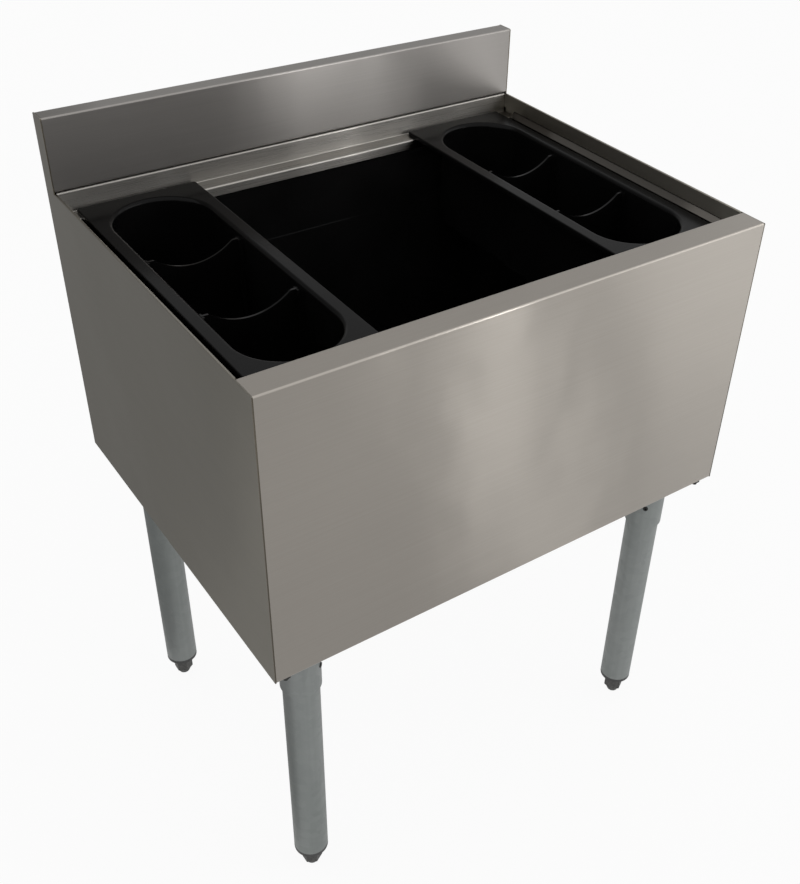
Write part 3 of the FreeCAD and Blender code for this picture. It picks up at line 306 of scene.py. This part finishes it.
wear(brushed_steel("sheet_brushed_across", "X", SHEET_ROUGHNESS, SHEET_WAVES, PANEL_RIPPLE),
     "front_panel", "back_panel", "bottom_panel")
# the splash wears a darker copy of the sheet finish: a painted shade, with a colder grey
wear(brushed_steel("splash_brushed_shaded", "X", SHEET_ROUGHNESS, SHEET_WAVES, FAINT_RIPPLE, SPLASH_TINT_AND_SHADE),
     "backsplash")
wear(brushed_steel("sheet_brushed_along", "Y", SHEET_ROUGHNESS, SHEET_WAVES, PANEL_RIPPLE, SIDE_TINT),
     "left_side_panel", "right_side_panel")
wear(brushed_steel("strip_brushed_across", "X", STRIP_ROUGHNESS, STRIP_WAVES, FAINT_RIPPLE, RIM_TINT),
     "rear_rim", "front_rim")
# the side strips carry a painted shade, a dark reflection of the wells painted into their colour
wear(brushed_steel("side_strip_painted_shade", "Y", SIDE_STRIP_ROUGHNESS, STRIP_WAVES, FAINT_RIPPLE, SIDE_STRIP_PAINTED_SHADE),
     "left_rim", "right_rim")

# %% [markdown]
# ## Black moulded plastic
# The liner is smooth and shiny. The wells and their dividers are a little duller, with the fine grain
# that a mould leaves. One helper makes all three, each with its own roughness, grain depth and gloss.

# %% Plastics
MOULD_GRAIN = 900.0
HAZE = 14.0
HAZE_DARK = 0.75
HAZE_LIGHT = 1.25


def moulded_black(name, shade, roughness, grain_depth, gloss):
    """Black plastic with a haze that varies its shade and roughness, and a fine grain."""
    finish, tree, shader = new_finish(name, 0.0, roughness[0], (shade, shade, shade))
    shader.inputs["Specular IOR Level"].default_value = gloss
    grain = stretched_noise(tree, EVEN, scale=MOULD_GRAIN, detail=2.0)
    haze = stretched_noise(tree, EVEN, scale=HAZE, detail=4.0)
    tone = ramp(tree, haze, (shade * HAZE_DARK,) * 3, (shade * HAZE_LIGHT,) * 3)
    tree.links.new(tone, shader.inputs["Base Color"])
    tree.links.new(blend_number(tree, haze, *roughness), shader.inputs["Roughness"])
    add_bump(tree, shader, grain, 0.1, grain_depth)
    return finish


DIVIDERS = [f"{side}_{end}_divider" for side in ("left", "right") for end in ("front", "rear")]

wear(moulded_black("liner_black", 0.007, (0.1, 0.16), 0.00001, gloss=0.5), "bin_liner")
wear(moulded_black("well_black", 0.0035, (0.17, 0.23), 0.00002, gloss=0.1),
     "left_bottle_well", "right_bottle_well")
wear(moulded_black("divider_black", 0.003, (0.16, 0.22), 0.00002, gloss=0.18), *DIVIDERS)

# %% [markdown]
# ## Galvanised legs
# Zinc freezes on the steel in flat crystals, up to a centimetre across. A Voronoi texture has that look:
# each cell gets its own shade. On these tubes the zinc is thin and even, so the cells differ only a little,
# and most of what shows is a soft mottling and faint streaks down the tube, where the zinc ran as it cooled.

# %% Galvanised steel
CORNERS = [f"{side}_{end}" for end in ("front", "rear") for side in ("left", "right")]
ZINC_DARK = (0.278, 0.292, 0.287)
ZINC_LIGHT = (0.292, 0.307, 0.301)
ZINC_ROUGHNESS = (0.44, 0.52)
STAIN_SHADE = (0.88, 0.90, 0.89)
RUN_SHADE = (0.93, 0.93, 0.93)
CRYSTALS = 110.0
STAINS = (16.0, 16.0, 4.0)
RUNS = (160.0, 160.0, 3.0)


def galvanised(name):
    """Zinc with faint crystals, stains and runs."""
    finish, tree, shader = new_finish(name, 0.75, 0.5, ZINC_LIGHT)
    place = tree.nodes.new("ShaderNodeTexCoord")
    crystals = tree.nodes.new("ShaderNodeTexVoronoi")
    crystals.inputs["Scale"].default_value = CRYSTALS
    tree.links.new(place.outputs["Object"], crystals.inputs["Vector"])
    split = tree.nodes.new("ShaderNodeSeparateColor")
    tree.links.new(crystals.outputs["Color"], split.inputs["Color"])
    shade = ramp(tree, split.outputs["Red"], ZINC_DARK, ZINC_LIGHT, start=0.0, end=1.0)
    stains = stretched_noise(tree, STAINS)
    shade = multiply(tree, shade, ramp(tree, stains, STAIN_SHADE, WHITE))
    runs = stretched_noise(tree, RUNS, detail=2.0)
    shade = multiply(tree, shade, ramp(tree, runs, RUN_SHADE, WHITE))
    tree.links.new(shade, shader.inputs["Base Color"])
    tree.links.new(blend_number(tree, split.outputs["Green"], *ZINC_ROUGHNESS), shader.inputs["Roughness"])
    add_bump(tree, shader, stains, 0.1, 0.0003)
    return finish


wear(galvanised("zinc_crystals"),
     *[f"{corner}_{piece}" for corner in CORNERS for piece in ("leg", "socket")])

# %% [markdown]
# ## Plugs, fasteners and insulation
# Small pieces get plainer finishes, but each still has its own texture: moulded plugs in the leg ends, zinc
# plate on the hidden bolts, black oxide on the screws that show, a brass nut and a rubber seal at the drain,
# and cut foam between the liner and the panels. One grain with other colours and depths makes them all.

# %% Small pieces
ROUGHNESS_SPREAD = 0.08


def grainy(name, metallic, rough, dark, light, scale, depth):
    """Finish with an even grain, from a dark to a light shade."""
    finish, tree, shader = new_finish(name, metallic, rough, light)
    grain = stretched_noise(tree, EVEN, scale=scale, detail=5.0)
    tree.links.new(ramp(tree, grain, dark, light), shader.inputs["Base Color"])
    varied = blend_number(tree, grain, rough - ROUGHNESS_SPREAD, rough + ROUGHNESS_SPREAD)
    tree.links.new(varied, shader.inputs["Roughness"])
    add_bump(tree, shader, grain, 0.4, depth)
    return finish


BOARDS = [f"{side}_insulation" for side in ("front", "rear", "left", "right", "bottom")]

wear(grainy("plug_black", 0.0, 0.5, (0.03, 0.03, 0.03), (0.06, 0.06, 0.06), scale=500.0, depth=0.0001),
     *[f"{corner}_plug" for corner in CORNERS])
wear(grainy("zinc_plate", 1.0, 0.35, (0.42, 0.43, 0.42), (0.58, 0.58, 0.56), scale=260.0, depth=0.00005),
     "socket_bolts", "socket_nuts")
wear(grainy("black_oxide", 0.5, 0.42, (0.012, 0.012, 0.012), (0.03, 0.03, 0.029), scale=300.0,
            depth=0.00005),
     "corner_bolts", "corner_nuts", "set_screws")
wear(grainy("rivet_metal", 1.0, 0.38, (0.55, 0.55, 0.55), (0.68, 0.68, 0.68), scale=260.0, depth=0.00005),
     "back_panel_rivets")
wear(grainy("brass_cast", 1.0, 0.3, (0.45, 0.32, 0.12), (0.62, 0.46, 0.20), scale=160.0, depth=0.00005),
     "drain_locknut")
wear(grainy("rubber_seal", 0.0, 0.7, (0.015, 0.015, 0.015), (0.03, 0.03, 0.03), scale=600.0, depth=0.0001),
     "drain_gasket")
wear(grainy("foam_cut", 0.0, 0.9, (0.62, 0.55, 0.36), (0.80, 0.72, 0.52), scale=700.0, depth=0.0006),
     *BOARDS)

# %% [markdown]
# ## Places round an axis
# Turned metal has fine rings and a screw has a helix. Both follow from where a point is round an upright
# axis: how far from it, at which angle, and how high. The axis goes through the middle of the piece's box.

# %% Round an axis
def middle_of(name):
    """Middle of a piece, seen from above."""
    low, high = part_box(name)
    return [(low[i] + high[i]) / 2 for i in (0, 1)]


def round_axis(tree, axis):
    """Distance from an upright axis, angle round it as a share of a turn, and height."""
    place = tree.nodes.new("ShaderNodeTexCoord")
    split = tree.nodes.new("ShaderNodeSeparateXYZ")
    tree.links.new(place.outputs["Object"], split.inputs["Vector"])
    x = maths(tree, "SUBTRACT", split.outputs["X"], axis[0])
    y = maths(tree, "SUBTRACT", split.outputs["Y"], axis[1])
    square = maths(tree, "ADD", maths(tree, "MULTIPLY", x, x), maths(tree, "MULTIPLY", y, y))
    turn = maths(tree, "DIVIDE", maths(tree, "ARCTAN2", y, x), 2 * math.pi)
    return maths(tree, "SQRT", square), turn, split.outputs["Z"]


# %% [markdown]
# ## Turned drain
# The drain, its strainer and its washer were cut on a lathe, and the tool left fine rings in them. A noise
# that depends on nothing but the distance from the axis is the same all the way round, so it makes rings.

# %% Turned metal
TURNED_DARK = (0.47, 0.46, 0.44)
TURNED_LIGHT = (0.60, 0.59, 0.57)
TURNED_ROUGHNESS = (0.24, 0.36)
RINGS = 900.0
RING_DEPTH = 0.0001


def turned(name, axis):
    """Steel from a lathe, with fine rings round an upright axis."""
    finish, tree, shader = new_finish(name, 1.0, TURNED_ROUGHNESS[0], TURNED_LIGHT)
    away = round_axis(tree, axis)[0]
    rings = tree.nodes.new("ShaderNodeTexNoise")
    rings.noise_dimensions = "1D"
    rings.inputs["Scale"].default_value = RINGS
    tree.links.new(away, rings.inputs["W"])
    groove = rings.outputs["Fac"]
    tree.links.new(ramp(tree, groove, TURNED_DARK, TURNED_LIGHT), shader.inputs["Base Color"])
    tree.links.new(blend_number(tree, groove, *TURNED_ROUGHNESS), shader.inputs["Roughness"])
    add_bump(tree, shader, groove, 0.3, RING_DEPTH)
    return finish


wear(turned("strainer_turned", middle_of("drain_strainer")), "drain_strainer")
wear(turned("washer_turned", middle_of("drain_washer")), "drain_washer")

# %% [markdown]
# ## Screw threads
# The feet screw up and down on threaded stems, and the drain is held by a nut on its thread. The solids are
# plain cylinders there, because a helix of real ridges would be a heavy mesh for so small a detail. A bump
# does it: the height of a point and its angle round the axis together say where it is on the helix, and
# the distance to the axis keeps the ridges on the threaded part alone.

# %% Threads
THREAD_REACH = 0.0004
RIDGE_HEIGHT = 1.2


def cut_thread(finish, axis, radius, pitch):
    """Ridges round an upright axis, on the cylinder of that radius."""
    tree = finish.node_tree
    shader = tree.nodes["Principled BSDF"]
    skin = shader.inputs["Normal"].links[0].from_node
    away, turn, height = round_axis(tree, axis)
    apart = maths(tree, "ABSOLUTE", maths(tree, "SUBTRACT", away, radius))
    threaded = maths(tree, "LESS_THAN", apart, THREAD_REACH)
    climb = maths(tree, "SUBTRACT", maths(tree, "DIVIDE", height, pitch), turn)
    ridge = maths(tree, "MULTIPLY", maths(tree, "PINGPONG", climb, 0.5), threaded)
    ridges = add_bump(tree, shader, ridge, 1.0, RIDGE_HEIGHT * pitch)
    tree.links.new(skin.outputs["Normal"], ridges.inputs["Normal"])


STEM_RADIUS = 0.006
STEM_PITCH = 0.00175
DRAIN_RADIUS = 0.018
DRAIN_PITCH = 0.0022

for corner in CORNERS:
    cast = grainy(f"foot_dark_{corner}", 0.6, 0.5, (0.05, 0.05, 0.05), (0.12, 0.12, 0.115),
                  scale=320.0, depth=0.0003)
    cut_thread(cast, middle_of(f"{corner}_foot"), STEM_RADIUS, STEM_PITCH)
    wear(cast, f"{corner}_foot")

drain_metal = turned("drain_threaded", middle_of("drain_body"))
cut_thread(drain_metal, middle_of("drain_body"), DRAIN_RADIUS, DRAIN_PITCH)
wear(drain_metal, "drain_body")

# %% [markdown]
# ## Sheets of the stage
# The floor, and the cards further on, are single flat faces that aren't part of the object. One helper makes
# such a sheet. Two more give the corners of a sheet that lies or stands.

# %% Stage sheets
scene = bpy.context.scene
scene.view_settings.view_transform = "Standard"


def flat_sheet(name, corners, finish):
    """Four-sided sheet of the stage."""
    mesh = bpy.data.meshes.new(name)
    mesh.from_pydata(corners, [], [(0, 1, 2, 3)])
    mesh.materials.append(finish)
    sheet = bpy.data.objects.new(name, mesh)
    scene.collection.objects.link(sheet)
    return sheet


def lying(left, right, front, rear, z):
    """Corners of a sheet that lies flat."""
    return [(left, front, z), (right, front, z), (right, rear, z), (left, rear, z)]


def standing(left, right, y, bottom, top):
    """Corners of a sheet that stands across the room."""
    return [(left, y, bottom), (right, y, bottom), (right, y, top), (left, y, top)]


# %% [markdown]
# ## Floor
# A plain pale floor keeps all attention on the object. It glows for the camera, so it comes out white, but
# a part of its brightness is real light, so the soft shadow stays. Reflections see half of the glow.

# %% Floor
FLOOR_REACH = 8.0
FLOOR_SHADE = (0.8, 0.8, 0.8)
FLOOR_GLOW = {"Is Camera Ray": 0.93, "Is Glossy Ray": 0.5, "Is Transmission Ray": 0.5}

floor_finish = bpy.data.materials.new("floor_white")
floor_finish.use_nodes = True
tree = floor_finish.node_tree
tree.nodes.clear()
rays = tree.nodes.new("ShaderNodeLightPath").outputs
matte = tree.nodes.new("ShaderNodeBsdfDiffuse")
matte.inputs["Color"].default_value = (*FLOOR_SHADE, 1)
glow = tree.nodes.new("ShaderNodeEmission")
share = 0.0
for ray, amount in FLOOR_GLOW.items():
    share = maths(tree, "ADD", maths(tree, "MULTIPLY", rays[ray], amount), share)
mix = tree.nodes.new("ShaderNodeMixShader")
output = tree.nodes.new("ShaderNodeOutputMaterial")
tree.links.new(share, mix.inputs["Fac"])
tree.links.new(matte.outputs["BSDF"], mix.inputs[1])
tree.links.new(glow.outputs["Emission"], mix.inputs[2])
tree.links.new(mix.outputs["Shader"], output.inputs["Surface"])
flat_sheet("floor", lying(-FLOOR_REACH, FLOOR_REACH, -FLOOR_REACH, FLOOR_REACH, 0), floor_finish)
print("floor reaches", FLOOR_REACH, "m each way")

# %% [markdown]
# ## Surroundings
# The world is white for the camera and for reflections, as a studio sweep is. As a source of light it is
# weaker, because light from everywhere makes no shade, and shade is what shows a form.

# %% World
WORLD_LIGHT = 0.7

world = bpy.data.worlds.new("studio")
scene.world = world
world.use_nodes = True
tree = world.node_tree
tree.nodes.clear()
rays = tree.nodes.new("ShaderNodeLightPath").outputs
soft = tree.nodes.new("ShaderNodeBackground")
soft.inputs["Color"].default_value = (*WHITE, 1)
soft.inputs["Strength"].default_value = WORLD_LIGHT
white = tree.nodes.new("ShaderNodeBackground")
white.inputs["Color"].default_value = (*WHITE, 1)
white.inputs["Strength"].default_value = 1.0
seen = maths(tree, "MAXIMUM", rays["Is Camera Ray"], rays["Is Glossy Ray"])
seen = maths(tree, "MAXIMUM", seen, rays["Is Transmission Ray"])
mix = tree.nodes.new("ShaderNodeMixShader")
output = tree.nodes.new("ShaderNodeOutputWorld")
tree.links.new(seen, mix.inputs["Fac"])
tree.links.new(soft.outputs["Background"], mix.inputs[1])
tree.links.new(white.outputs["Background"], mix.inputs[2])
tree.links.new(mix.outputs["Shader"], output.inputs["Surface"])
print("world lights with strength", WORLD_LIGHT)

# %% [markdown]
# ## Three soft boxes
# White surroundings alone would leave the object flat. A large soft box to the front right makes the right
# side of the sheet and the legs brighter than the left. A narrow one beside it puts a soft upright band into
# the front panel, because the brushed grain smears its reflection up and down. A small one stands low at the
# right, and lifts the lower right corner.

# %% Lamps
def soft_box(name, spot, aim, width, height, power):
    """Rectangular lamp at a spot, turned to face a point."""
    lamp = bpy.data.lights.new(name, "AREA")
    lamp.shape = "RECTANGLE"
    lamp.size = width
    lamp.size_y = height
    lamp.energy = power
    box = bpy.data.objects.new(name, lamp)
    scene.collection.objects.link(box)
    facing = (Vector(spot) - Vector(aim)).to_track_quat("Z", "Y")
    box.matrix_world = Matrix.Translation(spot) @ facing.to_matrix().to_4x4()


soft_box("key_box", spot=(3.75, -2.75, 2.2), aim=(0, 0, 0.4), width=2.6, height=2.4, power=22)
soft_box("strip_box", spot=(2.12, -3.6, 1.15), aim=(0, -0.24, 0.6), width=0.13, height=2.2, power=15)
soft_box("low_box", spot=(1.17, -1.08, 0.28), aim=(0.2, -0.24, 0.5), width=0.5, height=0.5, power=0.95)
print("lamps:", [lamp.name for lamp in bpy.data.lights])

# %% [markdown]
# ## Grey cards
# Polished metal shows what stands round it. In an all-white room it would be almost white, so a
# photographer stands grey cards where the metal should look darker. These cards are seen by reflections
# alone: the camera, the soft light and the shadows pass through them.

# %% Cards
def grey_card(name, corners, shade):
    """Card that only reflections see, to keep some white out of the metal."""
    paint = bpy.data.materials.new(name)
    paint.use_nodes = True
    tree = paint.node_tree
    tree.nodes.clear()
    tint = tree.nodes.new("ShaderNodeEmission")
    tint.inputs["Color"].default_value = (shade, shade, shade, 1)
    output = tree.nodes.new("ShaderNodeOutputMaterial")
    tree.links.new(tint.outputs["Emission"], output.inputs["Surface"])
    card = flat_sheet(name, corners, paint)
    card.visible_camera = False
    card.visible_diffuse = False
    card.visible_shadow = False
    print(name, "is", round(card.dimensions.x, 2), "m wide")


grey_card("side_card", standing(left=-1.5, right=0.0, y=1.0, bottom=0.0, top=2.2), shade=0.3)
grey_card("rear_card", standing(left=-0.2, right=2.6, y=1.4, bottom=0.9, top=2.8), shade=0.65)
grey_card("side_mat", lying(left=-1.5, right=-0.32, front=-0.2, rear=1.0, z=0.002), shade=0.3)

# %% [markdown]
# ## Finish

# %% Finish
bpy.context.view_layer.update()
